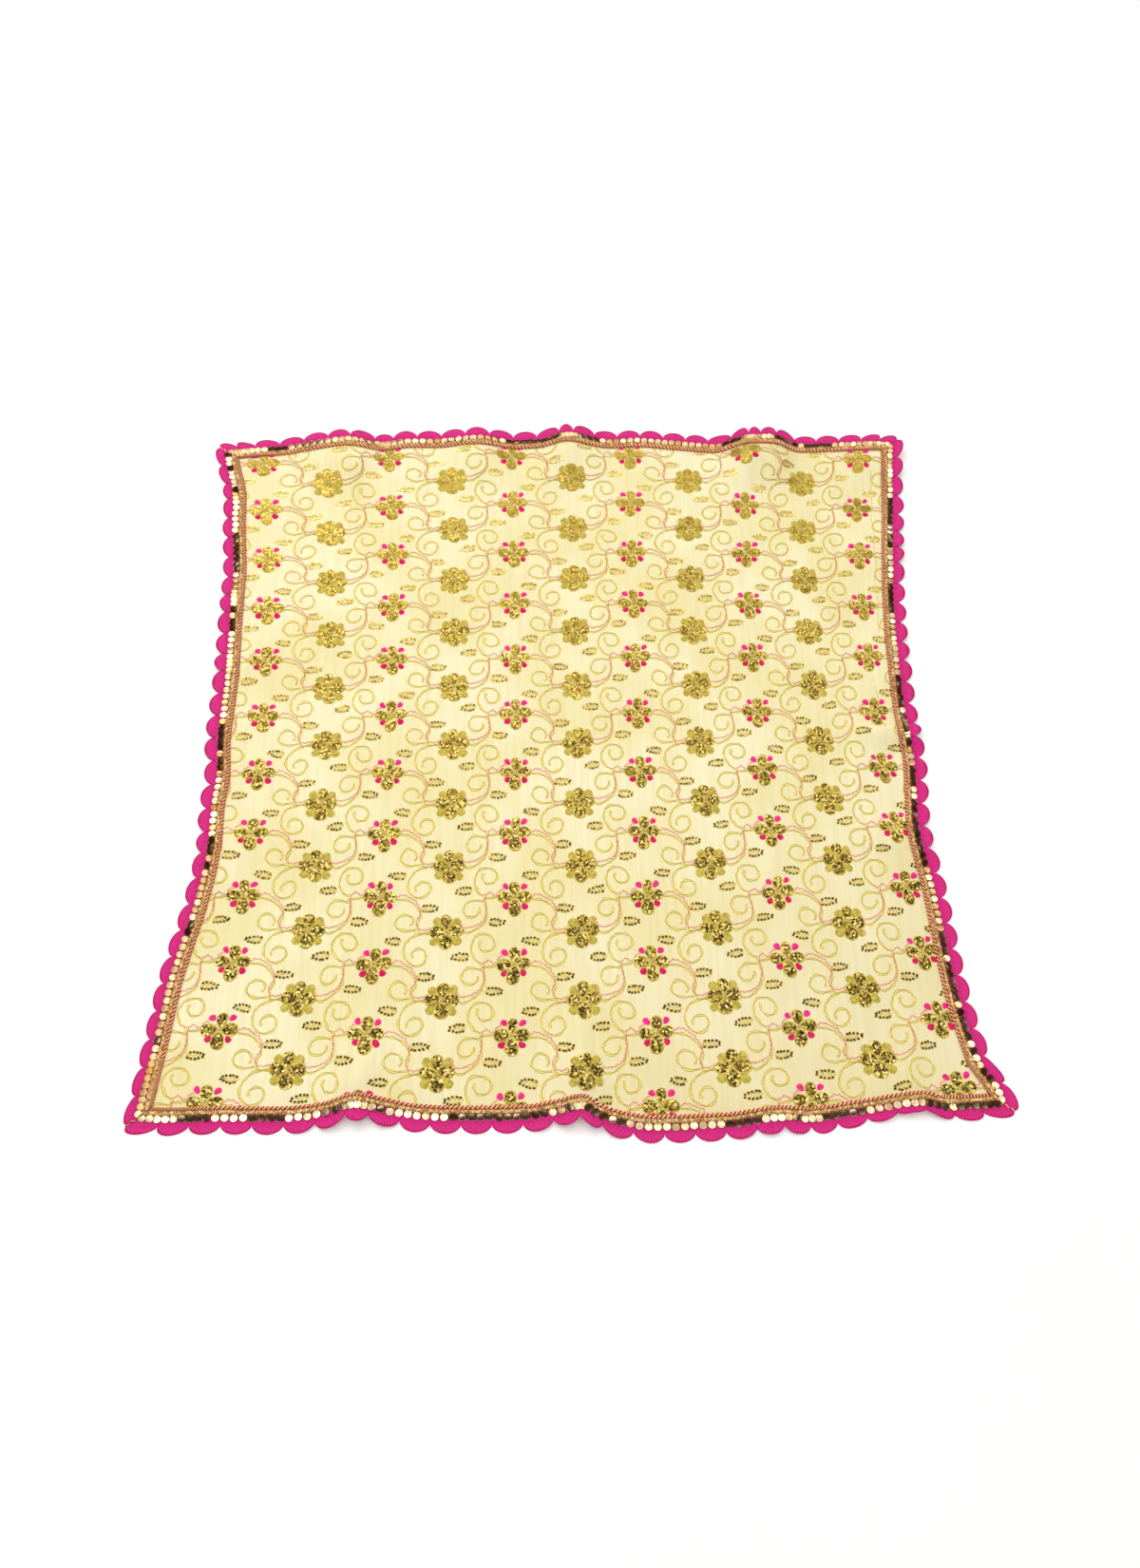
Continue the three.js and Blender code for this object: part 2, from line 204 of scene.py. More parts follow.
class Side:
    """One side of the border: its cord line, its folds, and the length of trim along it."""

    def __init__(self, name, scallops, rows):
        self.name = name
        self.scallops = scallops
        self.start = rows[0][0]
        self.end = rows[-1][0]
        self.reach = curve_through(rows, 1)
        self.lift = curve_through(rows, 2)
        self.places = np.linspace(self.start - MITRE, self.end + MITRE, 6000)
        self.lengths = self.places.copy()
        for at, _, _, take in rows:
            self.lengths += take * smooth((self.places - at) / (2 * TAKE_HALF) + 0.5)
        self.length = self.lengths[-1] - self.lengths[0]

    def place(self, share):
        """Where a share of the side's trim ends, from 0 to 1."""
        return np.interp(self.lengths[0] + share * self.length, self.lengths, self.places)

    def flat(self, share, out, cut=MITRE_CUT):
        """Flat pattern points at a share of the trim and a distance outward from the cord line."""
        place = self.place(np.asarray(share, float))
        out = np.asarray(out, float)
        shrink = (CORNER_ZONE + out - cut) / (CORNER_ZONE + MITRE)
        from_start = place - self.start
        from_end = self.end - place
        along = np.where(
            from_start < CORNER_ZONE,
            self.start + CORNER_ZONE - (CORNER_ZONE - from_start) * shrink,
            place,
        )
        along = np.where(
            from_end < CORNER_ZONE, self.end - CORNER_ZONE + (CORNER_ZONE - from_end) * shrink, along
        )
        return self.turned(along, self.reach(along) + out)

    def turned(self, along, distance):
        """The near and left sides face the other way, and left and right run from near to far."""
        distance = -distance if self.name in ("near", "left") else distance
        return np.stack([along, distance] if self.name in ACROSS else [distance, along], -1)


sides = {name: Side(name, *SIDES[name]) for name in NAMES}


def by_side(curve, x, y):
    """A curve of each side where a flat place is along it, one row for each side."""
    return np.stack([getattr(sides[name], curve)(x if name in ACROSS else y) for name in NAMES])


def inward(x, y):
    """How far inside each side's cord line a flat place is, one row for each side."""
    return by_side("reach", x, y) + np.stack([y, -x, -y, x])


def fold_height(x, y):
    """Height of the solid's underside over the floor."""
    depth = inward(x, y)
    lift = by_side("lift", x, y)
    rise = lift * (1 - smooth((depth - FOLD_LEVEL) / (FOLD_REACH - FOLD_LEVEL)))
    total = rise.sum(0)
    return np.where(total > 1e-9, (rise * rise).sum(0) / np.maximum(total, 1e-9), 0.0)


def crease_height(x, y):
    """Soft ridges that run inward from the folds, and small puckers between the motifs."""
    height = np.zeros_like(x)
    for x0, y0, x1, y1, half, top in CREASES:
        length = math.hypot(x1 - x0, y1 - y0)
        ux, uy = (x1 - x0) / length, (y1 - y0) / length
        along = ((x - x0) * ux + (y - y0) * uy) / length
        across = (-(x - x0) * uy + (y - y0) * ux) / (half * (1.1 - 0.4 * along))
        bend = across + 0.35 * np.sin(along * 5.0 + x0)
        height += top * np.exp(-bend * bend * 1.6) * smooth(1 - along) * smooth(along * 6 + 0.6)
    ripple = (
        np.sin(x * 0.081 + 1.3 * np.sin(y * 0.019)) * np.sin(y * 0.067 + 1.1 * np.sin(x * 0.023))
        + 0.6 * np.sin(x * 0.143 + y * 0.052 + 1.0) * np.sin(y * 0.118 - x * 0.041)
    )
    height += 0.32 * (1 + ripple)
    depth = inward(x, y).min(0)
    return height * smooth((depth - 2.0) / 22.0)


def height_at(x, y):
    return fold_height(x, y) + crease_height(x, y)


def cloth_points(flat, height):
    """Points in space, in millimetres, of flat pattern places at a height over the underside."""
    x, y = flat[..., 0], flat[..., 1]
    a, b = x / HALF, y / HALF
    h = 0.5
    slope_x = (height_at(x + h, y) - height_at(x - h, y)) / (2 * h)
    slope_y = (height_at(x, y + h) - height_at(x, y - h)) / (2 * h)
    size = np.sqrt(1 + slope_x**2 + slope_y**2)
    return np.stack(
        [
            x + SPREAD_FAR_NEAR * a * b * b + LEAN_LEFT * a * a + LEAN_TWIST * a * a * b
            - height * slope_x / size,
            y + SIDES_SHORTER * b * a * a - height * slope_y / size,
            height_at(x, y) + height / size,
        ],
        -1,
    )


def frame_shift():
    """From the cloth's own millimetres to the row frame, by the low corner of the ground's solid."""
    hem = []
    for name in NAMES:
        share = np.linspace(0, 1, sides[name].scallops * STATIONS + 1)
        hem.append(sides[name].flat(share, GROUND_HEM, cut=0.0))
    hem = np.concatenate(hem)
    both = [cloth_points(hem, height) for height in (0.0, WALL)]
    low = np.concatenate(both).min(0)
    solid_low = np.array(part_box("ground")[0]) * 1000
    return np.array([low[0] - solid_low[0], low[1] - solid_low[1], 0.0])


SHIFT = frame_shift()


def drifted(flat):
    """Small smooth shifts, so that no two repeats of the embroidery are quite alike."""
    x, y = flat[..., 0], flat[..., 1]
    return flat + DRIFT * pair(
        np.sin(y * 0.097 + 2.1 * np.sin(x * 0.031)) + 0.6 * np.sin(x * 0.21 + y * 0.043),
        np.sin(x * 0.083 + 1.7 * np.sin(y * 0.037)) + 0.6 * np.sin(y * 0.19 - x * 0.057),
    )


def slow_lean(flat):
    """A slow change of lean over the cloth, so that neighbouring sequins gleam together."""
    x, y = flat[:, 0], flat[:, 1]
    return pair(
        np.sin(x * 0.047 + 2.0 * np.sin(y * 0.029)) + 0.7 * np.sin(y * 0.113 + x * 0.071),
        np.sin(y * 0.053 + 2.0 * np.sin(x * 0.033)) + 0.7 * np.sin(x * 0.101 - y * 0.067),
    )


def pair(first, second):
    """Two values side by side for every point of a grid."""
    return np.stack(np.broadcast_arrays(first, second), -1)


class Pile:
    """Many small shapes on the flat pattern, joined into one mesh."""

    def __init__(self):
        self.flat = []
        self.height = []
        self.uv = []
        self.faces = []
        self.count = 0

    def add(self, flat, height, faces, uv=None):
        n = len(flat)
        self.flat.append(np.asarray(flat, float))
        self.height.append(np.broadcast_to(np.asarray(height, float), (n,)))
        self.uv.append(np.zeros((n, 2)) if uv is None else np.asarray(uv, float))
        self.faces.append(np.asarray(faces, int) + self.count)
        self.count += n

    def add_grid(self, flat, height, uv=None, loop=False):
        """A sheet of rows by columns; loop joins the last row to the first."""
        height = np.broadcast_to(height, flat.shape[:2])
        rows, columns = flat.shape[:2]
        index = np.arange(rows * columns).reshape(rows, columns)
        below = np.concatenate([index[1:], index[:1]]) if loop else index[1:]
        above = index if loop else index[:-1]
        faces = np.stack([above[:, :-1], above[:, 1:], below[:, 1:], below[:, :-1]], -1).reshape(-1, 4)
        self.add(
            flat.reshape(-1, 2), height.reshape(-1), faces, None if uv is None else uv.reshape(-1, 2)
        )

    def joined(self):
        return [np.concatenate(part) for part in (self.flat, self.height, self.uv)]

    def copies(self, places):
        """The same shapes at several flat places."""
        flat, height, uv = self.joined()
        made = Pile()
        for place in places:
            for faces in self.faces:
                made.faces.append(faces + made.count)
            made.flat.append(drifted(flat + place))
            made.height.append(height)
            made.uv.append(uv)
            made.count += len(flat)
        return made

    def trimmed(self, margin):
        """Drops the faces that lie wholly outside the cord line, less a margin."""
        flat = np.concatenate(self.flat)
        inside = inward(flat[:, 0], flat[:, 1]).min(0) > margin
        self.faces = [f[inside[f].any(1)] for f in self.faces if len(f)]
        return self

    def mesh(self, name, base=WALL):
        """The joined mesh, its heights counted from the cloth's face."""
        flat, height, uv = self.joined()
        used = np.zeros(len(flat), bool)
        for faces in self.faces:
            used[faces.ravel()] = True
        number = np.cumsum(used) - 1
        points = (cloth_points(flat[used], height[used] + base) - SHIFT) / 1000
        polygons = []
        for faces in self.faces:
            polygons.extend(number[faces].tolist())
        mesh = bpy.data.meshes.new(name)
        mesh.from_pydata(points.tolist(), [], polygons)
        layer = mesh.uv_layers.new(name="UVMap")
        corners = np.empty(len(mesh.loops), int)
        mesh.loops.foreach_get("vertex_index", corners)
        layer.data.foreach_set("uv", uv[used][corners].ravel())
        mesh.polygons.foreach_set("use_smooth", np.ones(len(mesh.polygons), bool))
        mesh.update()
        piece = bpy.data.objects.new(name, mesh)
        bpy.context.collection.objects.link(piece)
        return piece


def finish_piece(piece, material, node=None):
    piece.data.materials.append(material)
    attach(piece, "root")
    if node:
        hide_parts(node)
    return piece


# Small shapes on the flat pattern


def spline(points, spacing):
    """A smooth path through given points, at even spacing."""
    p = np.asarray(points, float)
    p = np.concatenate([[2 * p[0] - p[1]], p, [2 * p[-1] - p[-2]]])
    path = []
    for i in range(1, len(p) - 2):
        t = np.linspace(0, 1, 12, endpoint=False)[:, None]
        a, b, c, d = p[i - 1], p[i], p[i + 1], p[i + 2]
        square = (2 * a - 5 * b + 4 * c - d) * t**2
        cube = (3 * b - a - 3 * c + d) * t**3
        path.append(0.5 * (2 * b + (c - a) * t + square + cube))
    path = np.concatenate(path + [p[-2:-1]])
    length = np.concatenate([[0], np.cumsum(np.linalg.norm(np.diff(path, axis=0), axis=1))])
    count = max(3, int(round(length[-1] / spacing)) + 1)
    wanted = np.linspace(0, length[-1], count)
    return np.stack([np.interp(wanted, length, path[:, i]) for i in (0, 1)], -1), wanted


def across(path, closed=False):
    """Unit vectors across a path, to its left."""
    if closed:
        step = np.roll(path, -1, 0) - np.roll(path, 1, 0)
    else:
        step = np.gradient(path, axis=0)
    step /= np.maximum(np.linalg.norm(step, axis=1, keepdims=True), 1e-9)
    return np.stack([-step[:, 1], step[:, 0]], -1)


def add_profile(pile, path, profile, length, tone, lift=0.0, closed=False):
    """Sweeps a profile of (across, up) along a path on the cloth, with its length and tone mapped."""
    profile = np.asarray(profile, float)
    flat = path[:, None] + across(path, closed)[:, None] * profile[None, :, :1]
    up = np.broadcast_to(profile[None, :, 1] + lift, flat.shape[:2])
    pile.add_grid(flat, up, pair(length[:, None] + 0 * up, tone), loop=closed)


def add_outline(pile, outline, half, high):
    """A ridge of thread along a closed outline."""
    profile = [(-half, 0.0), (0.0, high), (half, 0.0)]
    add_profile(pile, outline, profile, np.arange(len(outline)), np.linspace(0, 1, 3), closed=True)


# What a thread and a fine thread are across, and up from the net
THREAD = [(-0.5, -0.1), (0.0, 0.75), (0.5, -0.1)]
FINE_THREAD = [(-0.34, -0.1), (0.0, 0.5), (0.34, -0.1)]


def wavy(points, amplitude, wave, spacing):
    """A path that wanders from side to side of a spline, like a couched thread."""
    path, length = spline(points, spacing)
    side = across(path)
    swing = amplitude * np.sin(2 * math.pi * length / wave + 0.8 * np.sin(length * 0.31))
    return path + side * swing[:, None], length


# How much wider a petal is towards its tip, the cord round it, and the step between sequin rows
PETAL_POINT = 0.18
PETAL_RIM = 1.2
ROW_STEP = 0.87


def petal_outline(petal, count, point=PETAL_POINT):
    """The closed outline of a petal that widens towards its tip."""
    x, y, length, width, heading = petal
    t = np.linspace(0, 2 * math.pi, count, endpoint=False)
    along = 0.5 * length * np.cos(t)
    wide = 0.5 * width * np.sin(t) * (1 + point * np.cos(t))
    c, s = math.cos(math.radians(heading)), math.sin(math.radians(heading))
    return np.stack([x + along * c - wide * s, y + along * s + wide * c], -1)


def ring_faces(rings, corners):
    """The quads between rings that follow each other."""
    index = np.arange(rings * corners).reshape(rings, corners)
    here, next_one = index[:-1], index[1:]
    return np.stack([here, np.roll(here, -1, 1), np.roll(next_one, -1, 1), next_one], -1).reshape(-1, 4)


def add_pad(pile, outline, height, rings=3, base=-0.1):
    """A raised pad filling a closed outline."""
    middle = outline.mean(0)
    share = np.linspace(1, 0.08, rings + 1)
    flat = np.stack([middle + (outline - middle) * k for k in share])
    count = len(outline)
    up = np.stack([np.full(count, base + height * math.sqrt(1 - k * k)) for k in share])
    uv = (flat - middle).reshape(-1, 2)
    pile.add(flat.reshape(-1, 2), up.ravel(), ring_faces(rings + 1, count), uv)
    pile.faces.append(np.arange(pile.count - count, pile.count)[None])


def scatter(pile, places, heights, points, faces, tilts=np.zeros((1, 2)), turn=0.0, painted_tones=(0.0, 1.0)):
    """Copies of a small shape at many places, each leaned and turned on its own, and each given its own
    painted reflection tone.
    """
    count = len(places)
    turn = np.broadcast_to(turn, count)[:, None]
    x, y, z = points.T
    c, s = np.cos(turn), np.sin(turn)
    x, y = x * c - y * s, x * s + y * c
    lean_x, lean_y = tilts[:, :1], tilts[:, 1:]
    up = z + x * np.sin(lean_x) + y * np.sin(lean_y)
    flat_x = x * np.cos(lean_x) - z * np.sin(lean_x)
    flat_y = y * np.cos(lean_y) - z * np.sin(lean_y)
    flat = np.stack([flat_x + places[:, :1], flat_y + places[:, 1:]], -1)
    shade = rng.uniform(*painted_tones, count)
    uv = pair(shade[:, None], np.hypot(points[:, 0], points[:, 1]))
    index = (np.arange(count) * len(points))[:, None, None] + faces[None]
    pile.add(
        flat.reshape(-1, 2),
        (up + np.broadcast_to(heights, count)[:, None]).ravel(),
        index.reshape(-1, faces.shape[1]),
        uv.reshape(-1, 2),
    )


def dish(corners, levels, middle=0.0):
    """A small round shape from rings of (radius, up) and a middle: its points, quads and triangles."""
    angle = np.linspace(0, 2 * math.pi, corners, endpoint=False)
    rim = np.stack([np.cos(angle), np.sin(angle)], -1)
    points = [np.column_stack([rim * radius, np.full(corners, up)]) for radius, up in levels]
    points = np.concatenate(points + [[(0.0, 0.0, middle)]])
    last = len(points) - 1
    i = np.arange(last - corners, last)
    triangles = np.stack([i, np.roll(i, -1), np.full(corners, last)], -1)
    return points, ring_faces(len(levels), corners), triangles


rng = np.random.default_rng(7)

# Materials


def srgb(r, g, b):
    """A display colour from 0 to 255, as the shader's own linear one."""
    shares = (r / 255, g / 255, b / 255)
    return (*(c / 12.92 if c <= 0.04045 else ((c + 0.055) / 1.055) ** 2.4 for c in shares), 1.0)


class Nodes:
    """A node tree whose nodes are made and joined by name."""

    def __init__(self, tree):
        self.nodes = tree.nodes
        self.links = tree.links

    def node(self, kind, inputs=(), **settings):
        made = self.nodes.new("ShaderNode" + kind)
        for key, value in settings.items():
            setattr(made, key, value)
        for key, value in dict(inputs).items():
            self.put(made.inputs[key], value)
        return made

    def put(self, socket, value):
        if isinstance(value, bpy.types.NodeSocket):
            self.links.new(value, socket)
        else:
            socket.default_value = value

    def math(self, operation, a, b=0.0, c=0.0):
        return self.node("Math", {0: a, 1: b, 2: c}, operation=operation).outputs[0]

    def times(self, a, b):
        return self.math("MULTIPLY", a, b)

    def plus(self, a, b):
        return self.math("ADD", a, b)

    def wave(self, value, pitch):
        return self.math("SINE", self.times(value, 2 * math.pi / pitch))

    def coordinates(self, kind):
        return self.node("TexCoord").outputs[kind]

    def range(self, value, low, high, to_low=0.0, to_high=1.0, how="SMOOTHSTEP"):
        inputs = {0: value, 1: low, 2: high, 3: to_low, 4: to_high}
        return self.node("MapRange", inputs, interpolation_type=how).outputs[0]

    def ramp(self, value, stops):
        made = self.node("ValToRGB", {0: value})
        elements = made.color_ramp.elements
        while len(elements) < len(stops):
            elements.new(0.5)
        for element, (place, colour) in zip(elements, stops):
            element.position = place
            element.color = colour
        return made.outputs[0]


class Shader(Nodes):
    """A material, its surface's sockets set by name."""

    def __init__(self, name, **settings):
        self.material = bpy.data.materials.new(name)
        self.material.use_nodes = True
        super().__init__(self.material.node_tree)
        self.surface = self.nodes["Principled BSDF"]
        for key, value in settings.items():
            self.surface.inputs[key.replace("_", " ")].default_value = value

    def uv(self):
        parts = self.node("SeparateXYZ", {0: self.coordinates("UV")})
        return parts.outputs[0], parts.outputs[1]

    def noise(self, scale, detail=2.0, vector=None):
        place = vector if vector else self.coordinates("Object")
        return self.node("TexNoise", {"Scale": scale, "Detail": detail, "Vector": place}).outputs[0]

    def stretched(self, x, y, z):
        return self.node("Mapping", {"Vector": self.coordinates("Object"), "Scale": (x, y, z)}).outputs[0]

    def mix(self, share, a, b):
        return self.node("Mix", {0: share, 6: a, 7: b}, data_type="RGBA").outputs[2]

    def mottled(self, scale, detail, low, high):
        return self.mix(self.range(self.noise(scale, detail), 0.35, 0.65), low, high)

    def colour(self, value):
        self.put(self.surface.inputs["Base Color"], value)

    def bump(self, height, strength, distance):
        made = self.node("Bump", {"Height": height, "Strength": strength, "Distance": distance})
        self.links.new(made.outputs[0], self.surface.inputs["Normal"])


def net_material():
    """Sheer net: a fine mesh with painted shade in its holes, faint streaks down the cloth, and slow
    changes of tone.
    """
    sheen = {"Sheen_Weight": 0.15, "Sheen_Roughness": 0.4}
    m = Shader("net_yellow", Roughness=0.55, Specular_IOR_Level=0.25, **sheen)
    u, v = m.uv()
    one = m.wave(m.plus(u, v), MESH_PITCH)
    two = m.wave(m.math("SUBTRACT", u, v), MESH_PITCH)
    weave = m.math("MAXIMUM", one, two)
    streak = m.noise(1.0, 2.0, m.stretched(160, 9, 1))
    base = m.mottled(7.0, 2.0, srgb(242, 231, 175), srgb(250, 243, 202))
    edge = m.plus(m.times(u, 0.6), m.times(v, -0.9))
    base = m.mix(m.range(edge, 120.0, 620.0, 0.0, 0.5), base, srgb(232, 218, 171))
    base = m.mix(m.range(streak, 0.35, 0.7, 0.0, 0.22), base, srgb(222, 206, 136))
    # Painted shade: the mesh is darkened a little in its holes, where the weave bump is low.
    base = m.mix(m.range(weave, -0.4, 0.7, 0.1, 0.0), base, srgb(206, 188, 118))
    m.colour(base)
    m.put(m.surface.inputs["Alpha"], m.range(weave, -0.6, 0.5, 0.8, 1.0))
    m.bump(m.plus(weave, m.times(streak, 1.5)), 0.25, 0.0003)
    return m.material


def lace_material():
    """Crochet in rows round each scallop, with small holes, a deeper rim and painted shade in the grooves
    between the rows.
    """
    m = Shader("lace_magenta", Roughness=0.7, Specular_IOR_Level=0.12)
    u, v = m.uv()
    down = m.math("SUBTRACT", v, 9.0)
    radius = m.math("SQRT", m.plus(m.times(u, u), m.times(down, down)))
    angle = m.math("ARCTAN2", u, down)
    rows = m.math("COSINE", m.times(radius, 2 * math.pi / ROW_PITCH))
    half_turn = m.times(m.math("FLOOR", m.math("DIVIDE", radius, ROW_PITCH)), math.pi / 2)
    stitch = m.math("COSINE", m.plus(m.times(angle, 34.0), half_turn))
    hole = m.times(m.range(rows, 0.35, 0.95), m.range(stitch, 0.1, 0.8))
    rib = m.times(rows, -0.5)
    rough = m.noise(900.0, 3.0)
    base = m.mix(m.range(rough, 0.3, 0.7), srgb(188, 12, 100), srgb(232, 44, 146))
    # Painted shade: the grooves between the rows, low in the rib bump, are darkened.
    base = m.mix(m.range(rows, 0.0, 1.0, 0.0, 0.25), base, srgb(146, 6, 72))
    base = m.mix(m.range(v, 27.5, 31.0, 0.0, 0.55), base, srgb(156, 6, 62))
    gap = m.times(hole, m.range(v, 16.0, 25.0, 0.12, 0.6))
    base = m.mix(gap, base, srgb(250, 150, 200))
    m.colour(base)
    m.bump(m.plus(rib, m.times(rough, 0.8)), 0.4, 0.0005)
    return m.material


def braid_material():
    """Crinkled gold gimp, with painted highlights and painted shade on the crinkles and in patches, and a
    tape painted dark as the shade in the gaps.
    """
    m = Shader("gimp_gold", Roughness=0.35, Specular_IOR_Level=0.3)
    crinkle = m.noise(1100.0, 3.0)
    patch = m.noise(300.0, 2.0)
    # Painted highlights and painted shade: the crinkle ramp runs from dark brown to near white, following
    # the crinkle bump.
    base = m.ramp(
        crinkle,
        [
            (0.32, srgb(182, 112, 40)),
            (0.45, srgb(242, 186, 90)),
            (0.56, srgb(255, 222, 136)),
            (0.66, srgb(255, 248, 206)),
        ],
    )
    # Painted shade and painted highlights in larger patches.
    base = m.mix(m.range(patch, 0.42, 0.56, 0.75, 0.0), base, srgb(160, 92, 30))
    base = m.mix(m.range(patch, 0.56, 0.68), base, srgb(255, 242, 190))
    # Painted shade: the tape under the strands is dark brown, standing for the shade in the gaps between
    # them.
    shade_tape = m.mix(m.range(crinkle, 0.4, 0.6), srgb(84, 26, 14), srgb(156, 86, 34))
    base = m.mix(m.math("GREATER_THAN", m.uv()[1], 0.75 * BASE_MARK), base, shade_tape)
    m.colour(base)
    m.bump(crinkle, 0.6, 0.0006)
    return m.material


def cord_material():
    """Two twisted strands: maroon silk and pale gold, each with painted light on its ply crests and
    painted shade in the grooves.
    """
    m = Shader("cord_two_colours", Roughness=0.5, Specular_IOR_Level=0.15)
    u, v = m.uv()
    ply = m.wave(u, 0.8)
    # Painted light and shade: lighter on the ply crests, darker in the grooves, following the ply bump.
    maroon = m.mix(m.range(ply, -1.0, 1.0), srgb(176, 6, 30), srgb(230, 44, 62))
    cream = m.mix(m.range(ply, -1.0, 1.0), srgb(255, 226, 156), srgb(255, 246, 200))
    m.colour(m.mix(m.math("GREATER_THAN", v, 0.5), maroon, cream))
    m.bump(ply, 0.5, 0.0003)
    return m.material


def thread_material(name, low, middle, high, painted_glint=0.0):
    """Couched thread: short stitches, a little gleam, and a painted reflection of dark glints where it
    runs across the cloth.
    """
    m = Shader(name, Metallic=0.15, Roughness=0.4)
    u, v = m.uv()
    stitch = m.wave(u, 1.7)
    tone = m.noise(420.0, 2.0)
    base = m.ramp(tone, [(0.3, srgb(*low)), (0.5, srgb(*middle)), (0.68, srgb(*high))])
    if painted_glint:
        # Painted reflection: dark glints where the thread runs across the cloth.
        glitter = m.times(m.range(v, 0.62, 0.98), m.range(tone, 0.42, 0.58, 0.3, 1.0))
        base = m.mix(m.times(glitter, painted_glint), base, srgb(140, 118, 38))
        base = m.mix(m.math("GREATER_THAN", v, 0.75 * BASE_MARK), base, srgb(234, 218, 116))
    m.colour(base)
    m.bump(stitch, 0.5, 0.0003)
    return m.material


def sequin_material():
    """Gold foil with a dark hole; each sequin's tone, from dark bronze to pale gold, is a painted
    reflection.
    """
    m = Shader("sequin_gold", Metallic=0.82, Roughness=0.38)
    u, v = m.uv()
    # Painted reflection: each sequin's own tone picks its colour from dark bronze to pale gold.
    stops = [
        (0.0, srgb(40, 28, 12)),
        (0.3, srgb(120, 94, 26)),
        (0.6, srgb(182, 154, 56)),
        (1.0, srgb(252, 230, 144)),
    ]
    m.colour(m.mix(m.range(v, 0.3, 0.5), srgb(70, 52, 18), m.ramp(u, stops)))
    return m.material


def coin_material():
    """Polished gold with a painted reflection tone on each coin and painted shade on its darker rolled
    rim.
    """
    m = Shader("coin_gold", Metallic=1.0, Roughness=0.14)
    u, v = m.uv()
    # Painted shade: the rolled rim is darkened.
    rim = m.range(v, 4.15, 4.5)
    # Painted reflection: each coin's tone runs from darker gold to pale cream.
    tone = m.mix(u, srgb(144, 104, 52), srgb(226, 210, 172))
    m.colour(m.mix(rim, tone, srgb(84, 46, 14)))
    m.bump(m.noise(500.0, 2.0), 0.08, 0.0004)
    return m.material


def satin_material(name, low, high):
    """Satin stitch: close lines of thread with a silky gleam."""
    m = Shader(name, Roughness=0.4, Specular_IOR_Level=0.2)
    lines = m.wave(m.uv()[1], 0.7)
    m.colour(m.mottled(260.0, 1.0, srgb(*low), srgb(*high)))
    m.bump(lines, 0.5, 0.0003)
    return m.material


def knot_material():
    m = Shader("knot_maroon", Roughness=0.6, Specular_IOR_Level=0.2)
    m.colour(m.mottled(900.0, 2.0, srgb(92, 10, 22), srgb(150, 28, 44)))
    return m.material


# Camera, light and floor


def set_camera():
    tilt, yaw, roll = (math.radians(angle) for angle in (CAMERA_TILT, CAMERA_YAW, CAMERA_ROLL))
    turn = Matrix.Rotation(yaw, 4, "Z") @ Matrix.Rotation(math.pi / 2 - tilt, 4, "X")
    data = bpy.data.cameras.new("camera")
    data.sensor_fit = "VERTICAL"
    data.sensor_height = SENSOR
    data.lens = FOCAL_PIXELS * SENSOR / PICTURE_HEIGHT
    data.clip_start = 0.01
    camera = bpy.data.objects.new("camera", data)
    place = (np.array(CAMERA_PLACE) - SHIFT) / 1000
    camera.matrix_world = Matrix.Translation(place) @ turn @ Matrix.Rotation(-roll, 4, "Z")
    bpy.context.collection.objects.link(camera)
    bpy.context.scene.camera = camera


def set_light():
    """A bright mottled cap overhead that leans to the far side, over a dimmer even surround."""
    world = bpy.data.worlds.new("studio")
    bpy.context.scene.world = world
    world.use_nodes = True
    w = Nodes(world.node_tree)
    background = w.nodes["Background"]
    around = w.coordinates("Generated")
    lean = math.radians(18)
    axis = (0.0, math.sin(lean), math.cos(lean))
    dot = w.node("VectorMath", {0: around, 1: axis}, operation="DOT_PRODUCT").outputs["Value"]
    stops = [
        (0.0, (0.32, 0.31, 0.29, 1)),
        (0.35, (0.24, 0.22, 0.20, 1)),
        (0.52, (0.03, 0.02, 0.014, 1)),
        (0.74, (0.03, 0.02, 0.014, 1)),
        (0.81, (1.0, 0.99, 0.975, 1)),
    ]
    w.put(background.inputs[0], w.ramp(dot, stops))
    patches = w.node("TexVoronoi", {"Scale": 5.0, "Vector": around}, feature="SMOOTH_F1")
    mottled = w.range(patches.outputs["Distance"], 0.15, 0.6, 3.6, 1.3)
    high = w.range(dot, 0.5, 0.78, how="LINEAR")
    strength = w.node("Mix", {0: high, 2: 2.3, 3: mottled}).outputs[0]
    w.put(background.inputs[1], strength)
    data = bpy.data.lights.new("key", "AREA")
    data.shape = "DISK"
    data.size = 0.9
    data.energy = 12
    key = bpy.data.objects.new("key", data)
    key.location = (-1.1, 1.3, 1.9)
    key.rotation_euler = (Vector((0, 0, 0)) - key.location).to_track_quat("-Z", "Y").to_euler()
    bpy.context.collection.objects.link(key)


def set_floor():
    bpy.ops.mesh.primitive_plane_add(size=12, location=(0, 0, -0.0002))
    floor = bpy.context.object
    floor.name = "floor"
    m = Shader("floor_white", Roughness=0.9, Specular_IOR_Level=0.0)
    m.colour(m.mix(m.noise(3.0), srgb(252, 252, 252), srgb(254, 254, 254)))
    floor.data.materials.append(m.material)


# The net


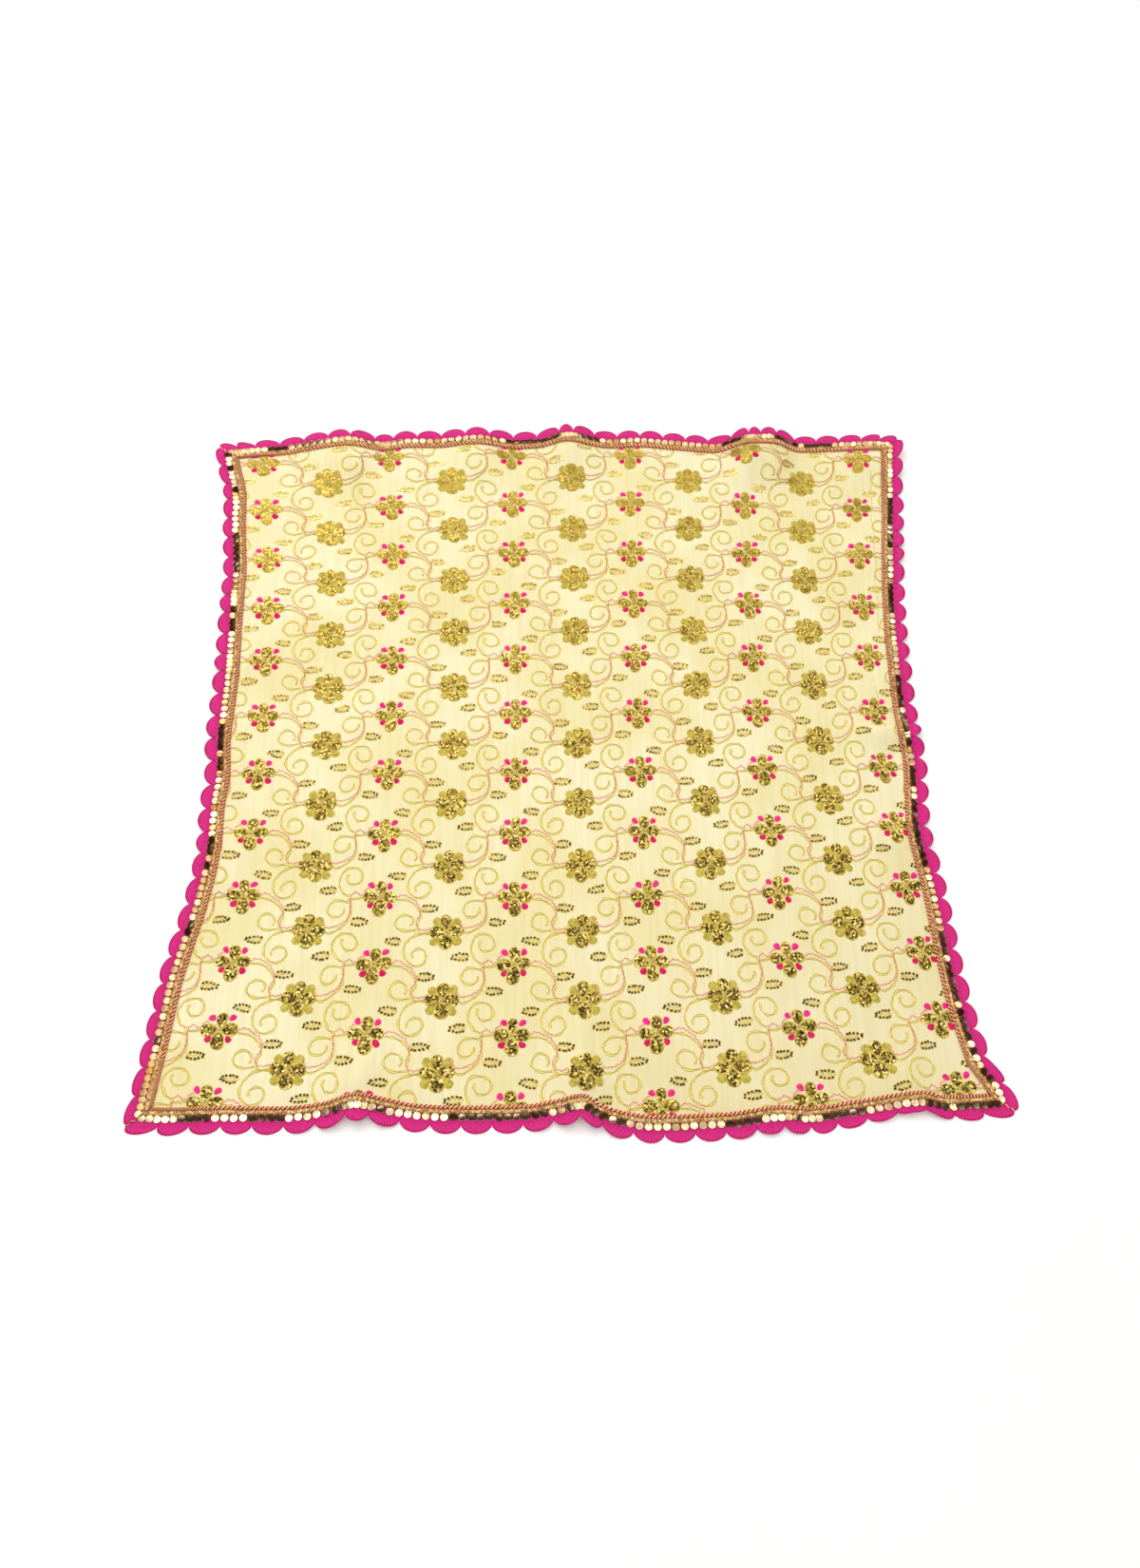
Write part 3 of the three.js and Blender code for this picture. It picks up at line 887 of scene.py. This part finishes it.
def make_net(material):
    columns, rows = 134, 134
    s = np.linspace(0, 1, columns + 1)
    t = np.linspace(0, 1, rows + 1)
    hem = {
        name: sides[name].flat(s if name in ACROSS else t, GROUND_HEM, cut=0.0)
        for name in NAMES
    }
    s, t = np.meshgrid(s, t)
    s, t = s[..., None], t[..., None]
    near, far = hem["near"][None], hem["far"][None]
    left, right = hem["left"][:, None], hem["right"][:, None]
    flat = (
        (1 - t) * near
        + t * far
        + (1 - s) * left
        + s * right
        - (1 - s) * ((1 - t) * near[:, :1] + t * far[:, :1])
        - s * ((1 - t) * near[:, -1:] + t * far[:, -1:])
    )
    pile = Pile()
    pile.add_grid(flat, 0.0, flat)
    piece = finish_piece(pile.mesh("net"), material, "ground")
    shell = piece.modifiers.new("shell", "SOLIDIFY")
    shell.thickness = 0.0005
    shell.offset = -1
    return piece


# The trim along each side

# The lace: small loops along each scallop, points in one, how far it stands out, the height of the
# underside, and the second map value of the rounded rim
PICOTS = 15
PICOT_STEPS = 3
PICOT_DEPTH = 0.75
LACE_UNDER = -1.15
RIM_MARK = 31.0
# The cord: length of one full twist, points in it, corners of a strand, the two strands' radii, the
# twist's own radius, and the height of its middle over the net
CORD_LAY = 5.1
PER_TURN = 8
STRAND_CORNERS = 5
STRANDS = (1.2, 1.1)
CORD_REACH = 2.1
CORD_LIFT = 2.05
# Strands of the gimp braid: middle, swing, wave length, start of the wave, half width, height
GIMP_STRANDS = [
    (5.0, 2.45, 5.6, 0.0, 0.78, 0.6),
    (5.0, 2.45, 5.6, 3.14, 0.78, 0.9),
    (5.1, 1.1, 3.6, 1.0, 0.42, 1.5),
]
# How much further out, or less, a scallop's tip lies than in the solid: at, millimetres
TIP_CHANGE = {
    "near": [(-480, -1), (-250, -1.5), (280, -2), (330, -5), (360, -9), (384, -7), (405, -3), (480, -3)],
    "right": [(-480, -2.5), (-200, 0.5), (100, 2), (300, 1.5), (480, 0)],
    "far": [(-480, -2), (0, -0.5), (480, -2)],
    "left": [(-480, -5), (-400, -4), (-250, -2.5), (-50, 0), (100, 0.8), (300, -2.5), (480, -4)],
}


def lace_depth(side, share):
    """How far out the scalloped edge lies, and the place across each scallop from -1 to 1."""
    turn = share * side.scallops
    local = 2 * (turn - np.floor(np.minimum(turn, side.scallops - 1e-6))) - 1
    bulge = np.maximum(0, 1 - local**2) ** 0.6
    change = TIP_CHANGE[side.name]
    place = side.place(share)
    extra = np.interp(place, [row[0] for row in change], [row[1] for row in change])
    depth = LACE_VALLEY + (LACE_TIP - LACE_VALLEY + extra) * bulge
    from_end = np.minimum(share, 1 - share) * side.scallops
    return np.where(from_end < 0.02, MITRE, depth), local


def make_lace(side, material):
    """A sheet of crochet with its underside, its picots along the edge, and a rounded rim."""
    share = np.linspace(0, 1, side.scallops * PICOTS * PICOT_STEPS + 1)
    depth, local = lace_depth(side, share)
    phase = np.arange(len(share)) / PICOT_STEPS * math.pi
    picot = PICOT_DEPTH * np.abs(np.sin(phase)) * (np.abs(local) < 0.97)
    levels = np.array([0, 0.14, 0.3, 0.46, 0.62, 0.78, 0.92, 1.0])
    out = LACE_INNER + (depth + picot - LACE_INNER)[None, :] * levels[:, None]
    flat = side.flat(share, out)
    uv = pair(local * 0.5 * side.length / side.scallops, out)
    wave = 0.28 * np.sin(side.place(share) * 0.21 + 1.7 * np.sin(side.place(share) * 0.043))
    top = -0.25 + 0.25 * levels[:, None] * (1 + wave[None, :]) - 0.12 * (levels[:, None] == 1.0)
    pile = Pile()
    pile.add_grid(flat, top, uv)
    pile.add_grid(flat[[-1, 0]], LACE_UNDER, uv[[-1, 0]])
    edge = np.stack([top[-1], 0 * share - 0.6, 0 * share + LACE_UNDER])
    pile.add_grid(np.stack([flat[-1]] * 3), edge, np.stack([uv[-1]] * 3))
    rounded = depth + picot * 0.5 + np.array([[-1.7], [-1.0], [-0.1]])
    pile.add_grid(side.flat(share, rounded), [[-0.1], [0.55], [-0.2]], pair(0 * rounded, RIM_MARK))
    return finish_piece(pile.mesh("scallops_" + side.name), material, "lace_" + side.name)


def wound(angle, offset, strand):
    """How far across and up each point round a strand lies, where it winds about a line."""
    around = np.linspace(0, 2 * math.pi, STRAND_CORNERS + 1)
    out = offset * np.cos(angle)[:, None] + strand * np.cos(around)[None, :]
    up = offset * np.sin(angle)[:, None] + strand * np.sin(around)[None, :]
    return out, up


def make_cord(side, material):
    """Two strands twisted round each other along the cord line."""
    turns = side.length / CORD_LAY
    count = int(turns * PER_TURN)
    share = np.linspace(0.5 / side.length, 1 - 0.5 / side.length, count)
    angle = share * turns * 2 * math.pi
    pile = Pile()
    for number, strand in enumerate(STRANDS):
        out, up = wound(angle + number * math.pi, CORD_REACH - strand, strand)
        uv = pair((share * side.length)[:, None] + 0 * out, float(number))
        pile.add_grid(side.flat(share[:, None], out), up + CORD_LIFT, uv)
    return finish_piece(pile.mesh("twist_" + side.name), material, "cord_" + side.name)


def make_braid(side, material):
    """Fine gold strands that loop over each other on a thin tape, painted dark as the shade in the gaps
    between them.
    """
    pile = Pile()
    for middle, swing, wave, begin, size, rise in GIMP_STRANDS:
        count = int(side.length / wave * 12)
        share = np.linspace(0.3 / side.length, 1 - 0.3 / side.length, count)
        length = share * side.length
        turn = 2 * math.pi * length / wave + begin + 0.5 * np.sin(length * 0.29)
        jitter = rng.normal(0, 0.12, count)
        centre = middle + swing * np.sin(turn) + jitter
        along = length + 0.3 * wave * np.sin(2 * turn) * 0.5
        path = side.flat(np.clip(along / side.length, 0, 1), centre)
        lift = rise + 0.4 * np.cos(turn) + 0.8 * np.abs(jitter)
        add_profile(pile, path, [(-size, 0.0), (0.0, 0.85), (size, 0.0)], length, 0.0, lift[:, None])
    # The tape under the strands, painted dark as shade.
    shade_tape = np.linspace(0, 1, int(side.length / 4))
    out = np.array([BRAID_INNER, 5.2, 8.4]) + 0 * shade_tape[:, None]
    pile.add_grid(side.flat(shade_tape[:, None], out), [0.32, 0.6, 0.32], pair(out, BASE_MARK))
    return finish_piece(pile.mesh("gimp_" + side.name), material, "braid_" + side.name)


def make_mitres(material):
    """A twisted cord end sewn down along the mitre seam of each corner."""
    pile = Pile()
    share = np.linspace(0, 1, 36)
    angle = share * MITRE_TURNS * 2 * math.pi
    for name in NAMES:
        line = sides[name].flat(0 * share, 1.5 + MITRE_CORD * share, cut=0.0)
        over = 2.9 - 2.3 * smooth((share - 0.3) / 0.3)
        aside = across(line)
        for number in (0, 1):
            out, up = wound(angle + number * math.pi, 0.5, 0.62)
            flat = line[:, None] + aside[:, None] * out[..., None]
            uv = pair((share * MITRE_CORD)[:, None] + 0 * up, float(number))
            pile.add_grid(flat, up + over[:, None], uv)
    return finish_piece(pile.mesh("mitre_cords"), material)


# How the spangles of each side lie: share that lean away from the light, the lean in degrees of
# those and of the others
COIN_LEANS = {
    "near": (0.42, 17, 3.4),
    "right": (0.42, 17, 2.4),
    "far": (0.2, 13, 1.2),
    "left": (0.33, 17, 2.0),
}

# Painted reflection: how pale each side's coins are painted, from 0 to 1
COIN_PAINTED_PALENESS = {"near": (0.3, 1.0), "right": (0.1, 0.9), "far": (0.05, 0.65), "left": (0.0, 0.55)}


def make_coins(side, coin, knot):
    """Coin spangles side by side, in runs that lean alike, each held by a knot."""
    count = int(side.length / COIN_PITCH)
    share = (np.arange(count) + 0.5) / count
    out = COIN_OUT + rng.normal(0, 0.3, count)
    places = side.flat(share, out)
    heading = side.flat(share, out + 1) - side.flat(share, out)
    turn = np.arctan2(heading[:, 1], heading[:, 0])
    chance, lean, little = COIN_LEANS[side.name]
    leans = np.zeros((count, 2))
    state = False
    for i in range(count):
        if rng.random() < 0.42:
            state = rng.random() < chance
        size = math.radians(lean * (0.8 + 0.5 * rng.random())) if state else math.radians(little)
        way = rng.normal(0, 0.5) if state else rng.uniform(0, 6.28)
        leans[i] = [-size * math.cos(turn[i] + way), -size * math.sin(turn[i] + way)]
    rings = [(COIN_RADIUS * k, up) for k, up in ((1.0, 0.0), (0.93, 0.28), (0.84, 0.12))]
    points, quads, triangles = dish(14, rings, 0.42)
    lift = 0.35 + 0.75 * COIN_RADIUS * np.hypot(np.sin(leans[:, 0]), np.sin(leans[:, 1]))
    pile = Pile()
    painted_paleness = COIN_PAINTED_PALENESS[side.name]
    # The rim and the dome of a coin take the same tone
    keep = rng.bit_generator.state
    scatter(pile, places, lift, points, quads, leans, turn, painted_paleness)
    rng.bit_generator.state = keep
    scatter(pile, places, lift, points, triangles, leans, turn, painted_paleness)
    coins = finish_piece(pile.mesh("coins_" + side.name), coin)
    dots = Pile()
    points, _, triangles = dish(6, [(0.75, 0.0)], 0.5)
    scatter(dots, side.flat(share, KNOT_OUT), 1.15, points, triangles)
    return [coins, finish_piece(dots.mesh("coin_knots_" + side.name), knot)]


# The embroidery of one repeat, charted from the middle of its pink flower

VINES = [
    [(21, -4), (28.8, -4.2), (36, -6.3), (42, -10), (47, -15.5), (50.8, -21.5), (51.8, -27),
     (50.6, -33), (48.6, -39.5), (50, -45), (53, -48.5), (60, -47.6), (64.4, -47)],
    [(-65.6, -44.5), (-62, -47.6), (-57, -48.9), (-51.3, -46.4), (-45, -42), (-40, -38),
     (-36.3, -32), (-34.4, -24.5), (-35, -17), (-36.3, -9.5), (-37.5, -3.3)],
    [(-37.5, -4.5), (-31.3, -3.3), (-25, -3.3), (-21.9, -1.4)],
]
CURLS = [
    [(-36.9, 0), (-43.8, 3), (-48.1, 9.3), (-51.3, 15.5), (-51.3, 23), (-48.8, 30.5), (-43.8, 35.5),
     (-36.3, 37), (-28.8, 35), (-24.4, 30.5), (-22.8, 25), (-25, 18.6), (-30, 15.8), (-36.3, 16),
     (-40.6, 20), (-41.9, 25.5), (-40.3, 29.3)],
    [(-38.1, -7.5), (-43.8, -6.4), (-50, -5.5), (-56.3, -7), (-60.6, -11.4), (-62.7, -17.6),
     (-61.2, -23.3), (-56.9, -27.3), (-51.3, -27.7), (-46.3, -25.3), (-43.1, -20.5), (-43, -15.8)],
    [(47.5, -44.5), (41.3, -45.8), (33.8, -46), (27.5, -43.9), (23.1, -39.5), (22.1, -33.9),
     (24.4, -28.3), (28.8, -24.8), (35, -24.5), (40, -27.6), (42.5, -32), (42.3, -37), (40, -39.5)],
    [(64.4, 38.6), (57.5, 38), (51.3, 36.8), (43.8, 33), (38.8, 28), (35.6, 21.8), (34.4, 15),
     (35.6, 8), (39.4, 1.8), (45, -2), (51.3, -3), (57.5, -0.8), (61.9, 5), (62.5, 11.8),
     (59.4, 16.8), (53.8, 18.6), (48, 16.8), (44.4, 11.8), (45, 6)],
]
PINK_THREADS = [
    [(21, -1), (26, 2.4), (31, 1.8), (36, -0.8), (41, -4.5), (45, -5.8), (47.5, -10.8), (51.3, -17),
     (51.3, -24.5), (47.5, -32), (47, -37), (51, -42.6), (57.5, -44), (64.4, -41.4)],
    [(-70, -33), (-66, -37), (-62.5, -41.4), (-57.5, -41.4), (-51, -40), (-46, -37.6), (-41, -34.5),
     (-37.5, -29.5), (-35.6, -22), (-35, -14.5), (-36, -7), (-36, -2), (-33, 3.6), (-28.8, 4.3),
     (-25, 0.5), (-21, 1.8), (-17.5, 8), (-12.5, 9.3)],
]
# Sequinned petals: middle x, y, length, width, heading in degrees
SEQUIN_PETALS = [
    (0.4, 10.2, 17.6, 12.6, 90),
    (-11.9, -1.8, 18.0, 14.2, 180),
    (11.4, -0.8, 18.0, 14.2, 0),
    (0.0, -15.4, 21.4, 15.2, 270),
    (84.2, -33.4, 17.6, 14.0, 90),
    (73.6, -45.8, 18.6, 15.8, 180),
    (95.4, -45.0, 18.6, 15.8, 0),
    (84.4, -58.6, 19.4, 16.6, 270),
]
# Satin petals of the pink flower, the upper ones and the lower ones, and of the gold flower
PINK_UPPER = [(-10.6, 12.9, 9.8, 7.8, 128), (11.9, 13.1, 9.8, 7.8, 52)]
PINK_LOWER = [(-11.0, -12.4, 10.0, 8.0, 236), (12.0, -12.4, 10.0, 8.0, 304)]
GOLD_SATIN = [
    (73.2, -34.2, 13.4, 10.8, 135),
    (96.2, -33.4, 13.4, 10.8, 45),
    (71.6, -58.0, 13.4, 10.8, 225),
    (97.2, -58.4, 13.4, 10.8, 315),
]
FLOWER_MIDDLES = [(0.0, -1.6), (84.4, -45.6)]
# Sprigs, from root to tip
SPRIGS = [
    (-53.2, 8.2, -75.0, 6.6),
    (-33.2, -33.8, -11.2, -34.2),
    (31.8, 26.0, 9.8, 29.0),
    (51.8, -16.5, 73.8, -16.5),
]
# Loose threads that pass from flower to flower beside the right edge
TRAVEL_THREADS = [
    [(440, 452), (441, 430), (443, 400), (441, 372), (443, 340), (442, 310), (444, 284), (441, 256)],
    [(441, 252), (444, 225), (441, 196), (440, 168)],
    [(425, 80), (428, 60), (426, 38), (429, 14)],
]


def repeat_places():
    """The middle of the pink flower in each repeat that shows."""
    places = []
    for column in range(-1, 7):
        for row in range(-1, 13):
            places.append(((column - 2.5) * REPEAT_X, (5.5 - row) * REPEAT_Y))
    return np.array(places)


def add_thread(pile, path, length, profile, lift=0.0):
    """A couched thread; the second map value tells how much it runs across the cloth."""
    add_profile(pile, path, profile, length, np.abs(across(path)[:, 1:]), lift)


def add_pair(pile, line, apart, twist):
    """Two threads that run side by side and now and then cross, with a filled strip between them."""
    path, length = wavy(line, 0.25, 9.0, 2.5)
    side = across(path)
    swing = np.cos(2 * math.pi * length / twist + 0.9 * np.sin(length * 0.21))
    offset = apart * (0.72 + 0.38 * swing)
    add_thread(pile, path + side * offset[:, None], length, THREAD, 0.05)
    add_thread(pile, path - side * offset[:, None], length, THREAD)
    band = np.array([-1.0, 1.0])
    flat = path[:, None] + side[:, None] * band[None, :, None] * np.abs(offset)[:, None, None]
    pile.add_grid(flat, 0.12, pair(length[:, None], np.full((1, 2), BASE_MARK)))


def fill_petal(petal, spacing):
    """Places for the sequins of a petal, in staggered rows."""
    x, y, length, width, heading = petal
    turn = math.radians(heading)
    c, s = math.cos(turn), math.sin(turn)
    places, heights = [], []
    rows = int(length / (spacing * ROW_STEP)) + 1
    for row in range(-rows, rows + 1):
        for column in range(-rows, rows + 1):
            along = row * spacing * ROW_STEP
            wide = (column + 0.5 * (row % 2)) * spacing
            wide_here = width * (1 + PETAL_POINT * 2 * along / length)
            far = math.hypot(2 * along / (length - PETAL_RIM), 2 * wide / (wide_here - PETAL_RIM))
            if far < 1:
                places.append((x + along * c - wide * s, y + along * s + wide * c))
                heights.append(0.75 + 0.75 * math.sqrt(1 - far * far))
    return places, heights


def all_over(places, found):
    """Small places in every repeat."""
    return drifted((places[:, None] + np.array(found)[None]).reshape(-1, 2))


def sequin_leans(spots, calm, wild, slow):
    """Sequins lean more towards the near side, where their painted reflection tones also spread darker
    and paler: nearness, tones and leans of each.
    """
    nearness = np.clip(0.5 - spots[:, 1] / 1000, 0, 1)
    spread = (calm + wild * nearness)[:, None]
    leans = rng.normal(0, 1, spots.shape) * spread + slow * spread**0.5 * slow_lean(spots)
    # Painted reflection: the tone range widens towards the near side.
    return nearness, (0.42 - 0.8 * nearness, 0.72 + 0.45 * nearness), np.radians(leans)


def make_embroidery(materials):
    places = repeat_places()
    pieces = []

    def sew(pile, name, material):
        mesh = pile.copies(places).trimmed(THREAD_MARGIN).mesh(name)
        pieces.append(finish_piece(mesh, materials[material]))

    vines = Pile()
    for line in VINES:
        add_pair(vines, line, 1.15, 11.0)
    curls = Pile()
    for line in CURLS:
        add_pair(curls, line, 1.2, 15.0)
    sew(vines, "vine_thread", "gold")
    sew(curls, "curl_thread", "gold")

    pink = Pile()
    for line in PINK_THREADS:
        path, length = wavy(line, 0.95, 5.4, 1.35)
        add_thread(pink, path, length, THREAD, 0.5)
    sew(pink, "pink_thread", "pink")

    travel = Pile()
    for line in TRAVEL_THREADS:
        path, length = wavy(line, 0.8, 7.0, 2.0)
        add_thread(travel, path, length, FINE_THREAD, 0.2)
    pieces.append(finish_piece(travel.mesh("travel_thread"), materials["gold"]))

    pads, cords = Pile(), Pile()
    for petal in SEQUIN_PETALS:
        outline = petal_outline(petal, 18)
        add_pad(pads, outline, 0.9, 2)
        add_outline(cords, outline, 0.85, 1.35)
    sew(pads, "petal_pads", "pad")
    sew(cords, "petal_cords", "gold")

    knots = Pile()
    for x, y in FLOWER_MIDDLES:
        for turn in range(5):
            angle = turn * 1.257
            start = (x + 2.6 * math.cos(angle), y + 2.6 * math.sin(angle))
            end = (x + 2.6 * math.cos(angle + 2.5), y + 2.6 * math.sin(angle + 2.5))
            path, length = spline([start, (x, y), end], 1.8)
            add_thread(knots, path, length, THREAD, 0.9 + 0.15 * turn)
    sew(knots, "flower_knots", "gold")

    for name, petals in (("upper", PINK_UPPER), ("lower", PINK_LOWER), ("satin", GOLD_SATIN)):
        pile = Pile()
        for petal in petals:
            add_pad(pile, petal_outline(petal, 14, 0.3), 1.3)
        sew(pile, "petals_" + name, name)

    spots, ups = [], []
    for petal in SEQUIN_PETALS:
        found, high = fill_petal(petal, 2.5)
        spots.extend(found)
        ups.extend(high)
    spots = all_over(places, spots)
    ups = np.tile(ups, len(places))
    keep = inward(spots[:, 0], spots[:, 1]).min(0) > SEQUIN_MARGIN
    spots, ups = spots[keep], ups[keep]
    spots += rng.normal(0, 0.3, spots.shape)
    _, painted_tones, leans = sequin_leans(spots, 1.6, 13, 1.2)
    glitter = Pile()
    points, _, triangles = dish(6, [(1.3, 0.0)], -0.12)
    turn = rng.uniform(0, 6.28, len(spots))
    scatter(glitter, spots, ups, points, triangles, leans, turn, painted_tones)
    pieces.append(finish_piece(glitter.mesh("petal_sequins"), materials["sequin"]))

    stems, loose = Pile(), []
    for x0, y0, x1, y1 in SPRIGS:
        start, end = np.array([x0, y0]), np.array([x1, y1])
        run = end - start
        size = np.linalg.norm(run)
        ahead = run / size
        aside = np.array([-ahead[1], ahead[0]])
        line = [start, start + run * 0.35, start + run * 0.7, end - 2 * ahead]
        path, length = wavy(line, 0.3, 8.0, 2.4)
        add_thread(stems, path, length, FINE_THREAD)
        for number in range(5):
            root = start + ahead * (1.0 + 4.1 * number)
            reach = 4.2 - 0.4 * (number - 1.4) ** 2
            for way in (-1, 1):
                tip = root + ahead * (2.6 + 0.5 * way) + aside * way * reach
                loose.append(tip)
                heading = math.atan2(*(ahead * 1.1 + aside * way)[::-1])
                point = np.array([math.cos(heading), math.sin(heading)])
                belly = 1.5 * np.array([-point[1], point[0]])
                leaf = np.array([tip - 1.1 * reach * point, tip - belly, tip + 2.4 * point, tip + belly])
                stems.add(leaf, 0.22, [[0, 1, 2, 3]], np.full((4, 2), 0.5))
                add_outline(stems, leaf, 0.6, 0.55)
    sew(stems, "sprig_thread", "gold")
    spots = all_over(places, loose)
    spots = spots[inward(spots[:, 0], spots[:, 1]).min(0) > SEQUIN_MARGIN]
    spots += rng.normal(0, 0.35, spots.shape)
    nearness, (low, high), leans = sequin_leans(spots, 1.2, 11, 1.0)
    loose = Pile()
    # Painted reflection: the sprig sequins' tones run darker towards the near side.
    painted_tones = (low + 0.3 - 0.6 * nearness, high + 0.35 - 1.3 * nearness)
    points, quads, _ = dish(8, [(1.55, 0.0), (0.3, -0.2)])
    scatter(loose, spots, 0.75, points, quads, leans, 0.0, painted_tones)
    pieces.append(finish_piece(loose.mesh("sprig_sequins"), materials["sequin"]))
    return pieces


set_camera()
set_light()
set_floor()
bpy.context.scene.view_settings.view_transform = "Standard"

net = make_net(net_material())
trims = []
lace, braid, cord = lace_material(), braid_material(), cord_material()
coin, knot = coin_material(), knot_material()
for name in NAMES:
    side = sides[name]
    trims += [make_lace(side, lace), make_braid(side, braid), make_cord(side, cord)]
    trims += make_coins(side, coin, knot)
trims.append(make_mitres(cord))
materials = {
    "gold": thread_material("thread_gold", (178, 150, 40), (210, 184, 70), (240, 220, 116), 0.35),
    "pink": thread_material("thread_pink", (222, 96, 116), (240, 128, 140), (250, 178, 160)),
    "pad": satin_material("petal_ground", (180, 156, 62), (210, 186, 92)),
    "upper": satin_material("satin_pink", (244, 30, 130), (252, 62, 152)),
    "lower": satin_material("satin_deep_pink", (214, 16, 88), (238, 34, 112)),
    "satin": satin_material("satin_gold", (188, 168, 62), (218, 200, 92)),
    "sequin": sequin_material(),
}
work = make_embroidery(materials)
